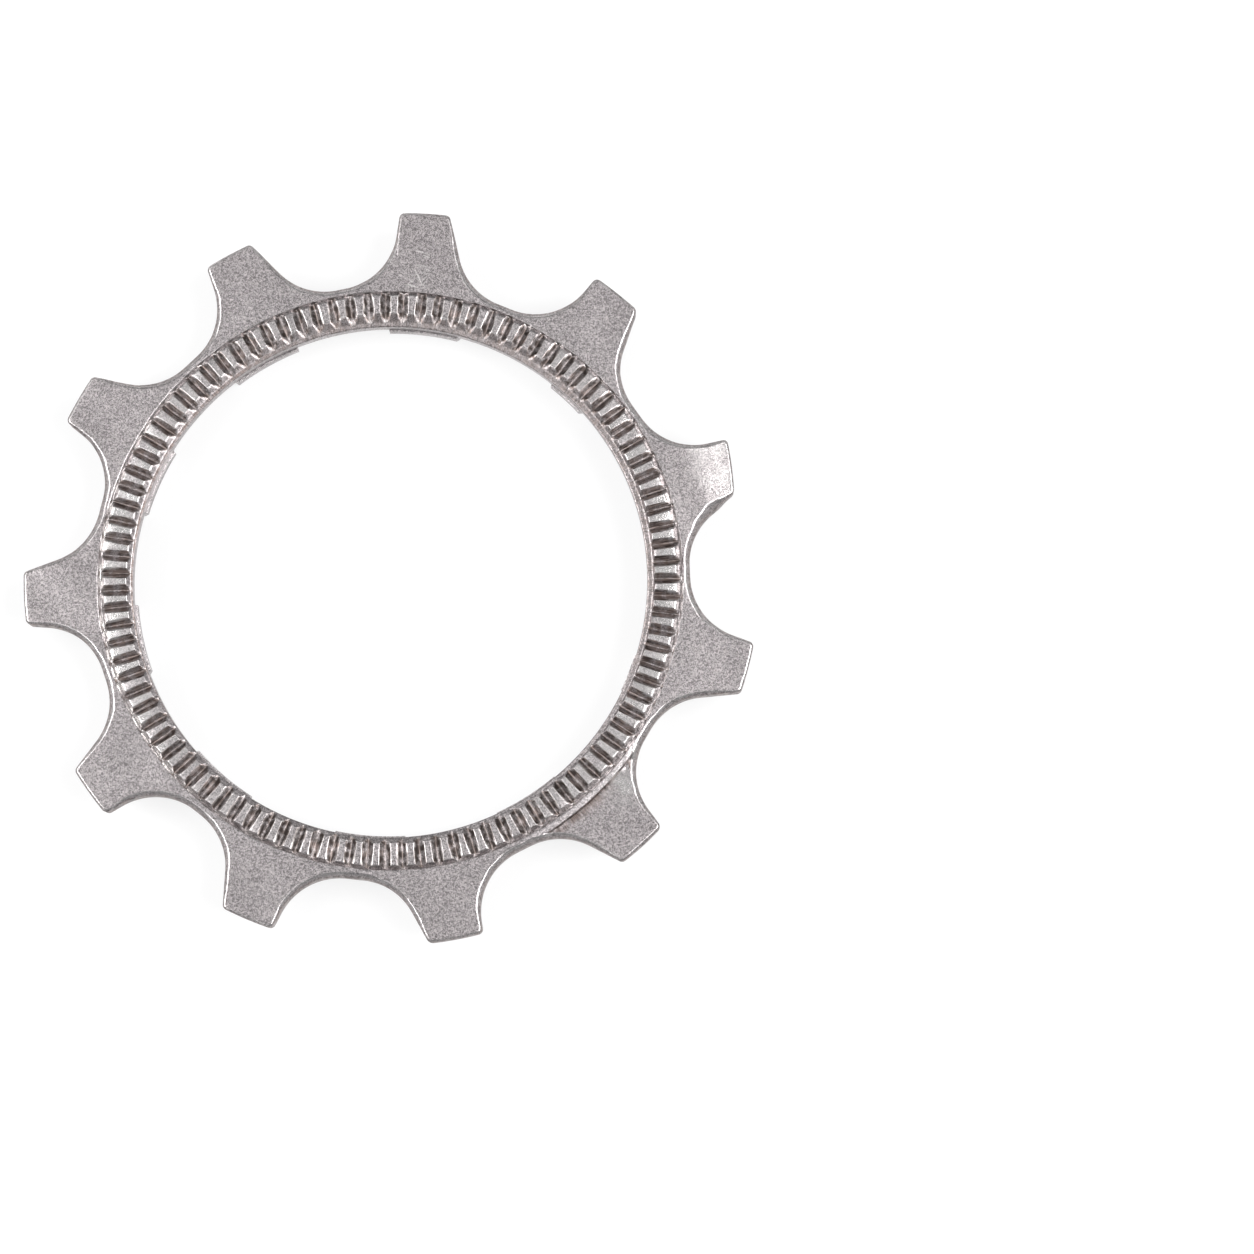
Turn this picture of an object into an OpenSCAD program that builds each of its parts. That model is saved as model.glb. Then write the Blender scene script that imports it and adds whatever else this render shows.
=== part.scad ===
// Smallest cog of a bicycle cassette, with the serrated seat for the lock ring on its front.
// Z runs along the axle, z = 0 is the back of the collar, and the serrated front faces up.

/* [Chain fit] */
// Number of teeth
teeth_n = 11; // [11:1:13]
// Chain pitch, from roller to roller
pitch = 12.7; // [12.6:0.05:12.8]
// Diameter of a chain roller
roller_d = 7.75; // [7.65:0.05:7.9]
// Play between a roller and the round of its seat
seat_play = 0.18; // [0.1:0.01:0.25]
// Turn of the first tooth from the X axis, in degrees
first_tooth_a = 18.4; // [0:0.1:32]

/* [Teeth] */
// Thickness of the tooth plate
plate_t = 1.6; // [1.5:0.05:1.8]
// How far the tallest tooth's corners rise above the pitch circle
tip_rise = 0.77; // [0.65:0.01:0.85]
// How far each tooth's corners lie below the tallest ones, from the first tooth on
tip_low = [0.36, 0.29, 0, 0.27, 0.6, 0.46, 0.5, 0.48, 0.58, 0.48, 0.3]; // [0:0.01:0.65]
// How far each tooth sits to the counterclockwise side of its even place
tooth_shift = [-0.07, 0.1, 0.14, -0.2, -0.03, 0.14, 0.11, -0.18, 0, 0.08, -0.05]; // [-0.2:0.01:0.2]
// How far the flat of a tip lies inside the circle of its corners
tip_flat = 0.08; // [0.07:0.01:0.12]
// Lean of the clockwise flank, in degrees
slope_lean = 19; // [16:0.5:22]
// Lean of the counterclockwise flank, in degrees
steep_lean = 8; // [7:0.5:12]
// How far the seat is widened towards the clockwise flank of a tooth
slope_widen = 0.28; // [0.24:0.01:0.35]
// How far the seat is widened towards the counterclockwise flank
steep_widen = 0.57; // [0.4:0.01:0.6]
// Radius of the tooth's tip corners
tip_round = 0.35; // [0.25:0.05:0.5]
// Bevel along the front edge of tips and flanks
edge_bevel = 0.12; // [0.08:0.01:0.16]
// Extra bevel at the bottom of each seat
seat_bevel = 0.14; // [0.06:0.01:0.16]
// Bevel along the back edge of the teeth
back_bevel = 0.15; // [0.05:0.01:0.2]

/* [Shifting teeth] */
// Number of the tooth whose face is sunk so that the chain can leave, from 0
gate_tooth = 9; // [5:1:10]
// Depth of the sunk face beside the serrated ring
gate_t = 0.34; // [0.2:0.02:0.45]
// Depth of the sunk face at the tooth's tip
gate_tip_t = 0.12; // [0.06:0.02:0.18]
// Number of the tooth whose outer half is ramped, from 0
ramp_tooth = 0; // [0:1:4]
// Radius at which the ramp starts
ramp_r = 20.05; // [19.8:0.05:20.6]
// Depth of the ramp at the tooth's tip
ramp_t = 0.34; // [0.1:0.02:0.5]
// How much lower than the others the ramped tooth's tip lies, at its middle
ramp_tip_low = 0.41; // [0.38:0.01:0.5]
// Slant of the ramped tooth's tip, lower at its clockwise end, in degrees
ramp_tip_a = 10.5; // [6:0.5:12]
// Width of the hollow beside the ramped tooth's clockwise flank
ramp_side_w = 0.42; // [0.2:0.02:0.5]

/* [Serrated ring] */
// Number of ridges
ridge_n = 99; // [90:1:105]
// Height of a ridge
ridge_h = 0.33; // [0.25:0.01:0.4]
// Length of a ridge's flat top, along the radius
ridge_flat = 1.14; // [0.9:0.02:1.2]
// Width of the slope at each end of a ridge
ridge_slope = 0.31; // [0.25:0.01:0.34]
// Width of the grooves between ridges
groove_w = 0.7; // [0.55:0.01:0.75]
// How far the grooves reach below the ridges' feet
groove_sink = 0.03; // [0.02:0.01:0.06]
// Turn of the first groove from the X axis, in degrees
first_groove_a = 0; // [0:0.1:3.6]
// Width of the wall that rises from the ring's foot to the teeth
ring_wall_w = 0.13; // [0.1:0.01:0.16]

/* [Bore] */
// Diameter of the round hole in the front lip
bore_d = 32; // [31.8:0.05:32.1]
// Thickness of the lip around that hole
lip_t = 0.9; // [0.8:0.05:1.1]
// Width of the flat rim between the hole and the ridges' feet
rim_w = 0.2; // [0.16:0.01:0.24]
// Bevel at the front edge of the hole
rim_bevel = 0.06; // [0.03:0.01:0.1]

/* [Splines] */
// Diameter of the splined socket between its tabs
socket_d = 34.7; // [34.5:0.05:34.8]
// Diameter of the circle that the tabs reach in to
tab_d = 31.74; // [31.6:0.02:31.78]
// Number of tabs
tab_n = 9; // [7:1:9]
// Angle from one tab to the next, in degrees
tab_step_a = 36.5; // [36:0.1:37.5]
// Turn of the first tab from the X axis, in degrees
first_tab_a = 46.5; // [40:0.5:52]
// Width of a tab
tab_w = 4.4; // [3.6:0.1:5]
// Width of the narrow tabs beside the wide gap
narrow_tab_w = 2.5; // [1.8:0.1:3]
// Depth below the lip at which the tabs start to flare
flare_z = 0.7; // [0.5:0.05:1]
// Slope of the flare that leads the tabs onto the hub, in degrees
flare_a = 15; // [8:1:18]

/* [Collar] */
// Length of the collar behind the teeth, which spaces the cog from the next one
collar_l = 2.1; // [1.7:0.1:2.6]
// Wall of the collar around the socket
collar_wall = 0.75; // [0.65:0.05:0.85]
// Bevel at the back edges of the collar
collar_bevel = 0.18; // [0.1:0.02:0.25]

/* [Hidden] */
$fn = 96;

// Allowance by which cutting shapes run past the surfaces that they cut
past = 1;
// How far a straight cut stays inside the round that it runs into, so that the two cross cleanly
inside = 0.006;
// Parts of a tip corner's arc
corner_steps = 4;

top_z = collar_l + plate_t;
foot_z = top_z - ridge_h;
shelf_z = foot_z - lip_t;

tooth_a = 360 / teeth_n;
pitch_r = pitch / 2 / sin(tooth_a / 2);
seat_r = roller_d / 2 + seat_play;
seat_x = pitch_r + seat_play;
root_r = seat_x - seat_r;
tip_r = pitch_r + tip_rise;
blank_r = tip_r + plate_t / 8;

bore_r = bore_d / 2;
socket_r = socket_d / 2;
collar_r = socket_r + collar_wall;
tab_r = tab_d / 2;

ring_in_r = bore_r + rim_w;
flat_in_r = ring_in_r + ridge_slope;
flat_out_r = flat_in_r + ridge_flat;
ring_out_r = flat_out_r + ridge_slope;
face_r = ring_out_r + ring_wall_w;
gate_r = root_r - edge_bevel;
back_over = (root_r - back_bevel - collar_r) / 2;

// Outline of the turned blank, from the socket's mouth round the collar, plate, ring and bore
blank_outline = [
    [socket_r + collar_bevel, 0],
    [collar_r - collar_bevel, 0],
    [collar_r, collar_bevel],
    [collar_r, collar_l],
    [blank_r, collar_l],
    [blank_r, top_z],
    [face_r, top_z],
    [ring_out_r, foot_z],
    [flat_out_r, top_z],
    [flat_in_r, top_z],
    [ring_in_r, foot_z],
    [bore_r + rim_bevel, foot_z],
    [bore_r, foot_z - rim_bevel],
    [bore_r, shelf_z],
    [socket_r, shelf_z],
    [socket_r, collar_bevel]
];

// Radius of a tooth's corner circle, and how far the tooth sits to one side
function corner_r(i) = tip_r - tip_low[i % teeth_n % len(tip_low)];
function shift_of(i) = tooth_shift[i % teeth_n % len(tooth_shift)];

// Turned blank with the serrated ring's section, before the teeth and grooves are cut
module blank() {
    rotate_extrude() polygon(blank_outline);
}

// Solid above a 45 degree plane that runs along X and meets the height z at y = width
module bevel_wedge(width, z, length, over = past) {
    rotate([90, 0, 90])
        linear_extrude(length)
            polygon([[-past, z - width - past], [width + over, z + over], [-past, z + over]]);
}

// Cone that bevels a seat: width beyond the seat's round, moved sideways by the vector to
module seat_cone(width, to, z, over = past) {
    reach = norm(to) + past;
    translate([to[0], to[1], z - width - reach])
        cylinder(h = width + reach + over, r1 = seat_r - reach, r2 = seat_r + width + over);
}

// Arc of a tooth's tip corner, from the flank that passes through p along u to the circle of radius r
function corner_arc(p, u, n, r) =
    let (
        q = p + tip_round * n,
        reach = r - tip_round,
        c = q + u * (sqrt(pow(q * u, 2) - q * q + reach * reach) - q * u),
        from_a = atan2(-n[1], -n[0]),
        to_a = atan2(c[1], c[0])
    )
    [for (i = [0 : corner_steps])
        let (a = from_a + (to_a - from_a) * i / corner_steps)
        c + tip_round * [cos(a), sin(a)]];

// Section of one half of the gap between two teeth, on the +Y side of its centre line along X
module gap_section(widen, lean, r) {
    a = tooth_a / 2 + lean;
    u = [cos(a), sin(a)];
    n = [-sin(a), cos(a)];
    seat = [seat_x, widen];
    start = seat + (seat_r - inside) * n;
    arc = corner_arc(start, u, n, r);
    last = arc[corner_steps];
    far_r = tip_r + 2 * past;
    polygon(concat(
        [[seat_x, -past], seat, start],
        arc,
        [last * far_r / norm(last), [far_r, -past]]
    ));
    translate(seat)
        circle(seat_r);
    translate([seat_x - seat_r + inside, -past])
        square([seat_r, widen + past]);
}

// Bevels round one half of the gap, front and back
module gap_bevels(widen, lean) {
    a = tooth_a / 2 + lean;
    seat = [seat_x, widen];
    start = seat + (seat_r - inside) * [-sin(a), cos(a)];
    flank_bevel = edge_bevel + seat_bevel * sin(a) - inside;
    translate([seat[0], seat[1], 0])
        seat_cone(edge_bevel, [-seat_bevel, 0], top_z);
    translate([start[0], start[1], 0])
        rotate(a)
            bevel_wedge(flank_bevel, top_z, tip_r - root_r);
    translate([root_r + inside, 0, 0])
        rotate(90)
            bevel_wedge(edge_bevel + seat_bevel - inside, top_z, widen);
    translate([0, 0, 2 * collar_l])
        mirror([0, 0, 1]) {
            translate([seat[0], seat[1], 0])
                seat_cone(back_bevel, [0, 0], collar_l, back_over);
            translate([start[0], start[1], 0])
                rotate(a)
                    bevel_wedge(back_bevel - inside, collar_l, tip_r - root_r, back_over);
            translate([root_r + inside, 0, 0])
                rotate(90)
                    bevel_wedge(back_bevel - inside, collar_l, widen, back_over);
        }
}

// Whole gap after tooth i: the next tooth's sloped flank on the +Y side, this one's steep flank on the other
module gap(i) {
    slope_w = slope_widen + shift_of(i + 1);
    steep_w = steep_widen - shift_of(i);
    translate([0, 0, collar_l - past])
        linear_extrude(plate_t + 2 * past) {
            gap_section(slope_w, slope_lean, corner_r(i + 1));
            mirror([0, 1]) gap_section(steep_w, steep_lean, corner_r(i));
        }
    gap_bevels(slope_w, slope_lean);
    mirror([0, 1, 0]) gap_bevels(steep_w, steep_lean);
}

// Cut that leaves the flat of tooth i's tip, slanted on the ramped tooth, with its bevels front and back
module tip_cut(i) {
    half_w = blank_r * sin(tooth_a / 4);
    low = i == ramp_tooth ? ramp_tip_low : 0;
    slant = i == ramp_tooth ? ramp_tip_a : 0;
    drop = i == ramp_tooth ? ramp_t : i == gate_tooth ? gate_tip_t : 0;
    rotate(asin(shift_of(i) / tip_r))
        translate([corner_r(i) - tip_flat - low, 0, 0])
            rotate(90 - slant)
                translate([-half_w, 0, 0]) {
                    translate([0, -2 * past, collar_l - past])
                        cube([2 * half_w, 2 * past, plate_t + 2 * past]);
                    bevel_wedge(edge_bevel, top_z - drop, 2 * half_w);
                    translate([0, 0, 2 * collar_l])
                        mirror([0, 0, 1]) bevel_wedge(back_bevel, collar_l, 2 * half_w);
                }
}

// Groove between two ridges, a straight V with a narrow bottom, along X
module groove() {
    depth = ridge_h + groove_sink;
    run = groove_w / 2 / depth;
    translate([ring_in_r - groove_sink, 0, 0])
        rotate([90, 0, 90])
            linear_extrude(ring_out_r - ring_in_r + 2 * groove_sink)
                polygon([
                    [0, top_z - depth],
                    [groove_w / 2 + past * run, top_z + past],
                    [-groove_w / 2 - past * run, top_z + past]
                ]);
}

// Cut below a sloping face along X, from the depth t0 at r0 to the depth t1 at the tip circle
module face_cut(r0, t0, t1) {
    slope = (t1 - t0) / (tip_r - r0);
    translate([0, pitch / 2, 0])
        rotate([90, 0, 0])
            linear_extrude(pitch)
                polygon([
                    [r0 - past, top_z - t0 + slope * past],
                    [tip_r + past, top_z - t1 - slope * past],
                    [tip_r + past, top_z + past],
                    [r0 - past, top_z + past]
                ]);
}

// Sunk face of the tooth that lets the chain go, bounded by a round step beside the ring
module gate_cut() {
    half_a = tooth_a / 2;
    difference() {
        intersection() {
            face_cut(gate_r, gate_t, gate_tip_t);
            linear_extrude(top_z + 2 * past)
                polygon([[0, 0], [2 * tip_r, -2 * tip_r * tan(half_a)], [2 * tip_r, 2 * tip_r * tan(half_a)]]);
        }
        cylinder(h = top_z + 2 * past, r = gate_r);
    }
}

// Ramp on the outer half of a tooth
module ramp_cut() {
    difference() {
        face_cut(ramp_r, 0, ramp_t);
        cube([2 * ramp_r, 2 * pitch, 4 * top_z], center = true);
    }
}

// Hollow that widens the bevel beside the ramped tooth's clockwise flank
module ramp_side_cut() {
    a = tooth_a / 2 + slope_lean;
    translate([seat_x, slope_widen + shift_of(ramp_tooth), 0])
        seat_cone(0, ramp_side_w * [-cos(90 - a), sin(90 - a)], top_z);
}

// Tabs that slide along the hub's splines, with the wide gap after the last one
module tabs() {
    flare_end = tab_r + (shelf_z - flare_z) * tan(flare_a);
    seat_in = collar_wall / 2;
    intersection() {
        rotate_extrude() polygon([
            [flare_end, 0],
            [socket_r + seat_in, 0],
            [socket_r + seat_in, shelf_z + lip_t / 4],
            [socket_r - seat_in, shelf_z + lip_t / 4],
            [socket_r - seat_in, shelf_z],
            [tab_r, shelf_z],
            [tab_r, shelf_z - flare_z]
        ]);
        union() for (i = [0 : tab_n - 1]) {
            w = i == 0 || i == tab_n - 1 ? narrow_tab_w : tab_w;
            rotate(first_tab_a + i * tab_step_a)
                translate([0, -w / 2, -past])
                    cube([collar_r, w, top_z + past]);
        }
    }
}

// The whole cog, which is one piece of steel
module cog() {
    color("darkgray") {
        difference() {
            blank();
            for (i = [0 : teeth_n - 1])
                rotate(first_tooth_a + (i + 0.5) * tooth_a) gap(i);
            for (i = [0 : teeth_n - 1])
                rotate(first_tooth_a + i * tooth_a) tip_cut(i);
            for (i = [0 : ridge_n - 1])
                rotate(first_groove_a + i * 360 / ridge_n) groove();
            rotate(first_tooth_a + gate_tooth * tooth_a) gate_cut();
            rotate(first_tooth_a + ramp_tooth * tooth_a) ramp_cut();
            rotate(first_tooth_a + (ramp_tooth - 0.5) * tooth_a) ramp_side_cut();
        }
        tabs();
    }
}

cog();
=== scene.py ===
"""The smallest cog of a bicycle cassette, lying flat with its serrated face up.

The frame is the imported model: Z runs along the axle, z = 0 is the back of the collar. All surfaces are
worked out in millimetres and put into the mesh in metres.
"""

import math

import bpy
import numpy as np
from bpy.props import FloatProperty, FloatVectorProperty, IntProperty, PointerProperty
from mathutils import Matrix, Vector


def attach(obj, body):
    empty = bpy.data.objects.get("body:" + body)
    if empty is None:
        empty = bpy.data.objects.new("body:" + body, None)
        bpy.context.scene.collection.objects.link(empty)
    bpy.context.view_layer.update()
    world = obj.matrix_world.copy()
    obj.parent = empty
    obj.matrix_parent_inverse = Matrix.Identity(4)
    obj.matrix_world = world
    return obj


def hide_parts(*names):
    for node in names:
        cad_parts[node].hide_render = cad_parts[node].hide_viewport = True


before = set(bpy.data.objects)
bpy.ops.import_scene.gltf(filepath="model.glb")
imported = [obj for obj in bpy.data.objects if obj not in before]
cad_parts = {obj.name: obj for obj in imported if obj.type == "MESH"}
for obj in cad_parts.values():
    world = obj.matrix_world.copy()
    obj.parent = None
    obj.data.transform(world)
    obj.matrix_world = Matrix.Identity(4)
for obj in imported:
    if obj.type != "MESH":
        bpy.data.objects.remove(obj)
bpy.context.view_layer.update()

bl_info = {
    "name": "Cassette cog",
    "version": (1, 0, 0),
    "blender": (4, 5, 0),
    "location": "View3D > Sidebar > Cog",
    "description": "Builds the worn surface of a cassette cog and its studio",
    "category": "Object",
}

MM = 0.001
FULL_TURN = 2 * math.pi


# Sizes and colours


def length(name, description, default_mm):
    """A length property, given in millimetres and kept in metres."""
    default = default_mm * MM
    return FloatProperty(name=name, description=description, default=default, unit="LENGTH", precision=6)


def tint(name, description, default):
    """A colour property, given as red, green and blue from 0 to 1."""
    return FloatVectorProperty(
        name=name, description=description, subtype="COLOR", size=3, default=default, min=0, max=1
    )


def power(name, description, default):
    """A lamp's power in watts."""
    return FloatProperty(name=name, description=description, unit="POWER", default=default, min=0)


class CogSizes(bpy.types.PropertyGroup):
    """Sizes of the cog's visible surface."""

    pitch: length("Chain pitch", "From roller to roller", 12.7)
    roller: length("Roller", "Diameter of a chain roller", 7.75)
    play: length("Seat play", "Between a roller and the round of its seat", 0.18)
    plate: length("Plate", "Thickness of the tooth plate", 1.6)
    collar: length("Collar", "Length of the collar behind the teeth", 2.1)
    collar_radius: length("Collar radius", "Outside of the collar", 18.1)
    socket_radius: length("Socket radius", "Inside of the collar, between the tabs", 17.35)
    bore_radius: length("Bore radius", "Hole in the front lip", 16.0)
    tab_radius: length("Tab radius", "Circle that the tabs reach in to", 15.87)
    lip: length("Lip", "Thickness of the lip round the bore", 0.9)
    ridge_height: length("Ridge height", "Height of the serrated ring's ridges", 0.33)
    groove_width: length("Groove width", "Width of the grooves between the ridges", 0.74)
    edge_bevel: length("Edge bevel", "Bevel along tips and flanks", 0.12)
    seat_bevel: length("Seat bevel", "Extra bevel at the bottom of a seat", 0.14)
    tip_round: length("Tip round", "Radius of the tip corners", 0.35)
    ridges: IntProperty(name="Ridges", description="Ridges round the serrated ring", default=99, min=33)
    teeth: IntProperty(name="Teeth", description="Teeth round the cog", default=11, min=9)
    first_tooth: FloatProperty(
        name="First tooth",
        description="Turn of the first tooth from the X axis",
        default=math.radians(18.4),
        subtype="ANGLE",
    )


class SteelLook(bpy.types.PropertyGroup):
    """Finish of the worn steel."""

    light: tint("Steel", "Colour of the plain faces", (0.472, 0.436, 0.438))
    dull: tint("Dull steel", "Colour of the darker clouds on the faces", (0.384, 0.354, 0.357))
    # Brown dirt in the grooves, also used as painted shade in the grooves and other recesses, and as the
    # painted shadow by the gate's step
    grime_and_shade: tint("Grooves", "Colour deep in the grooves", (0.18, 0.145, 0.133))
    # Bright colour for painted highlights on edges and faces, which also stands for worn edges, and for the
    # nicks
    bright: tint("Rubbed edges", "Colour of edges that wear has polished", (0.86, 0.84, 0.82))
    roughness: FloatProperty(
        name="Roughness",
        description="Roughness of the plain faces",
        subtype="FACTOR",
        default=0.33,
        min=0,
        max=1,
    )


class StudioLook(bpy.types.PropertyGroup):
    """Floor, lamps and sky."""

    floor: tint("Floor", "Colour of the floor", (0.93, 0.93, 0.93))
    side_power: power("Side lamps", "Power of the two side lamps", 2.35)
    back_power: power("Back lamp", "Power of the lamp above and behind", 0.2)
    sky: FloatProperty(name="Sky", description="Strength of the even light all round", default=0.34, min=0)


def mm(value):
    """Millimetres of a length property."""
    return value / MM


def face_top(s):
    """Height of the unworn front face."""
    return mm(s.collar) + mm(s.plate)


def ring_foot(s):
    """Height of the flat rim, which the ridges of the ring stand on."""
    return face_top(s) - mm(s.ridge_height)


# Numbers


def ease(x, low, high):
    """0 below low, 1 above high, and a smooth cubic step between them."""
    t = np.clip((x - low) / (high - low), 0, 1)
    return t * t * (3 - 2 * t)


def soft_min(a, b, k):
    """The lower of two heights, with their meeting rounded over a band of k."""
    h = np.maximum(k - np.abs(a - b), 0) / k
    return np.minimum(a, b) - h * h * k / 4


def soft_max(a, b, k):
    """The higher of two heights, with their meeting rounded over a band of k."""
    return -soft_min(-a, -b, k)


def polar(r, theta):
    """Points at a radius and a turn from the X axis."""
    return np.c_[r * np.cos(theta), r * np.sin(theta)]


def waves(x, y, size, seed, count=26):
    """Smooth uneven surface with a mean of 0 and a spread of 1: a sum of plane waves with seeded directions,
    phases and lengths round size."""
    rng = np.random.default_rng(seed)
    turn = rng.uniform(0, FULL_TURN, count)
    rate = FULL_TURN / (size * rng.uniform(0.6, 1.7, count))
    phase = rng.uniform(0, FULL_TURN, count)
    total = np.zeros(np.broadcast(x, y).shape)
    for t, k, p in zip(turn, rate, phase):
        total += np.sin(k * (x * math.cos(t) + y * math.sin(t)) + p)
    return total / math.sqrt(count / 2)


def round_noise(theta, knots, seed):
    """Uneven value round the ring: seeded knots, joined smoothly, the same at 0 and at a full turn."""
    values = np.random.default_rng(seed).normal(size=knots)
    t = (theta / FULL_TURN % 1) * knots
    i = np.floor(t).astype(int)
    f = ease(t - i, 0, 1)
    return values[i % knots] * (1 - f) + values[(i + 1) % knots] * f


def round_wave(theta, mean, cosine, sine, cosine_twice=0.0):
    """Smooth value round the ring: a mean, and parts that follow the cosine and the sine of the turn and the
    cosine of twice the turn."""
    return mean + cosine * np.cos(theta) + sine * np.sin(theta) + cosine_twice * np.cos(2 * theta)


def listed(values, number):
    """A tooth's value, or many teeth's, from a list that starts with the first tooth and goes round again."""
    return np.array(values)[number % len(values)]


def read_off(at, along, values):
    """Rows of values at the given places along a line, read straight between the known ones."""
    return np.stack([np.interp(at, along, v) for v in values.T], -1)


# Tooth outline

# From the first tooth counterclockwise: radius of the worn tip, the tip's slant in degrees, how far the tooth
# sits counterclockwise of its even place, and the lean of its steep flank in degrees
TIP_RADIUS = (22.46, 22.95, 23.30, 22.97, 22.64, 22.76, 22.74, 22.76, 22.65, 22.76, 22.93)
TIP_SLANT = (11.5, 1.0, -1.6, -2.5, -1.0, -1.0, -0.5, 0.5, 0.0, 1.3, 1.2)
TOOTH_SHIFT = (-0.07, 0.10, 0.14, -0.20, -0.03, 0.14, 0.11, -0.18, 0.0, 0.08, -0.05)
STEEP_LEAN = (8.0, 1.0, 2.0, 8.0, 8.0, 6.0, 4.0, 4.5, 1.0, 7.0, 7.0)
SLOPE_LEAN = 19.0
# How far the round of a seat lies from the middle of its gap, towards the steep and towards the sloped flank
STEEP_WIDEN, SLOPE_WIDEN = 0.57, 0.28
# The tooth with a sunk face, which lets the chain leave, and the one whose outer half is ramped
GATE_TOOTH, RAMP_TOOTH = 9, 0
# Radii between which a tip's slant fades in, and between which the wider bevel of the seats fades out
SLANT_RADII, SEAT_BEVEL_RADII = (20.6, 22.3), (21.2, 22.3)
SEAT_BEVEL_GAIN = 1.3
# The hollow beside the ramped tooth is a wider bevel there, which fades in and out over these radii
RAMP_HOLLOW, RAMP_HOLLOW_IN, RAMP_HOLLOW_OUT = 0.26, (18.9, 20.4), (20.6, 22.1)
# How much closer the outline's points stand where it bends, up to the given bend per millimetre
BEND_GAIN, BEND_LIMIT = 2.2, 1.2
SEAT_POINTS, FLANK_POINTS, CORNER_POINTS, TIP_POINTS = 160, 60, 30, 40


def half_gap(s, tip_r, widen, lean_deg):
    """One half of the gap between two teeth, from its bottom to the middle of the tooth: a short straight,
    the arc of the roller's seat, a straight flank, the arc of the tip corner and the tip circle. X is
    radial."""
    half = math.pi / s.teeth
    seat_x = mm(s.pitch) / 2 / math.sin(half) + mm(s.play)
    seat_r = mm(s.roller) / 2 + mm(s.play)
    corner_r = mm(s.tip_round)
    lean = half + math.radians(lean_deg)
    run = np.array([math.cos(lean), math.sin(lean)])
    side = np.array([-math.sin(lean), math.cos(lean)])

    # The corner's centre lies beside the flank by the corner's radius, and inside the tip circle by it
    seat = np.array([seat_x, widen])
    start = seat + seat_r * side
    beside = start + corner_r * side
    reach = tip_r - corner_r
    centre = beside + run * (math.sqrt((beside @ run) ** 2 - beside @ beside + reach**2) - beside @ run)
    corner_end = math.atan2(centre[1], centre[0])

    bottom = np.c_[np.full(4, seat_x - seat_r), np.linspace(0, widen, 5)[:-1]]
    arc = seat + polar(seat_r, np.linspace(math.pi, math.pi / 2 + lean, SEAT_POINTS))
    flank = start + (centre - corner_r * side - start) * np.linspace(0, 1, FLANK_POINTS)[1:, None]
    corner = centre + polar(corner_r, np.linspace(lean - math.pi / 2, corner_end, CORNER_POINTS)[1:])
    tip = polar(tip_r, np.linspace(corner_end, half, TIP_POINTS)[1:])
    return np.vstack([bottom, arc, flank, corner, tip])


def outline(s, per_tooth):
    """Outline of the teeth, counterclockwise from the middle of the first tooth, per_tooth points to a tooth.
    Points are spread along its length, and closer together where it bends. Returns the points, the normals
    that point outwards, and the width of the front bevel at each point."""
    places, normals, bevels = [], [], []
    for i in range(s.teeth):
        after = (i + 1) % s.teeth
        widen = STEEP_WIDEN - listed(TOOTH_SHIFT, i)
        steep = half_gap(s, listed(TIP_RADIUS, i), widen, listed(STEEP_LEAN, i))[:0:-1] * (1, -1)
        slope = half_gap(s, listed(TIP_RADIUS, after), SLOPE_WIDEN + listed(TOOTH_SHIFT, after), SLOPE_LEAN)
        path = np.vstack([steep, slope])
        dx, dy = np.gradient(path, axis=0).T
        turn = np.unwrap(np.arctan2(dy, dx))
        run = np.hypot(*np.diff(path, axis=0).T)
        bend = np.abs(np.diff(turn)) / np.maximum(run, 1e-9)
        along = np.r_[0, np.cumsum(run * (1 + BEND_GAIN * np.clip(bend, 0, BEND_LIMIT)))]
        at = np.linspace(0, along[-1], per_tooth + 1)[:-1]
        p = read_off(at, along, path)
        tangent = read_off(at, along, polar(1, turn))
        normal = np.c_[tangent[:, 1], -tangent[:, 0]]
        radius = np.hypot(*p.T)
        in_seat = np.clip(normal[:, 0], 0, 1) * (1 - ease(radius, *SEAT_BEVEL_RADII))
        bevel = mm(s.edge_bevel) + SEAT_BEVEL_GAIN * mm(s.seat_bevel) * in_seat
        if after == RAMP_TOOTH:
            fade = ease(radius, *RAMP_HOLLOW_IN) * (1 - ease(radius, *RAMP_HOLLOW_OUT))
            bevel = bevel + RAMP_HOLLOW * fade * (p[:, 1] > 0)
        a = s.first_tooth + (i + 0.5) * (FULL_TURN / s.teeth)
        spin = np.array([[math.cos(a), math.sin(a)], [-math.sin(a), math.cos(a)]])
        places.append(p @ spin)
        normals.append(normal @ spin)
        bevels.append(bevel)
    place, normal = slant_tips(s, *np.vstack(places).T), np.vstack(normals)
    return place, normal / np.hypot(*normal.T)[:, None], np.concatenate(bevels)


def tooth_place(s, x, y):
    """Nearest tooth's number, and the place in its frame: x outwards along its middle, y counterclockwise."""
    step = FULL_TURN / s.teeth
    number = np.round((np.arctan2(y, x) - s.first_tooth) / step).astype(int) % s.teeth
    a = s.first_tooth + number * step
    return number, x * np.cos(a) + y * np.sin(a), -x * np.sin(a) + y * np.cos(a)


def slant_tips(s, x, y):
    """Moves the tips in or out in proportion to the distance from the tooth's middle, less and less down the
    flanks."""
    number, along, across = tooth_place(s, x, y)
    slant = np.tan(np.radians(listed(TIP_SLANT, number)))
    scale = 1 + slant * across * ease(along, *SLANT_RADII) / np.hypot(x, y)
    return np.c_[x * scale, y * scale]


# Tooth faces

# How far the worn faces lie below the unworn one, and their waves: height, length and seed
FACE_WORN = 0.026
FACE_WAVES = ((0.013, 4.2, 11), (0.0016, 0.9, 12))
# Radius that the depths of the gate and of the ramp are given at, which is about that of the tips
DEPTH_RADIUS = 22.86
# The gate's face falls a little from the ring to its step, and is sunk outside it, less towards the tip
GATE_LEAD, GATE_LEAD_START = 0.05, 18.15
GATE_DEPTH, GATE_TIP_DEPTH = 0.34, 0.12
RAMP_RADIUS, RAMP_DEPTH, RAMP_ROUND = 20.05, 0.34, 0.12
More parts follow.
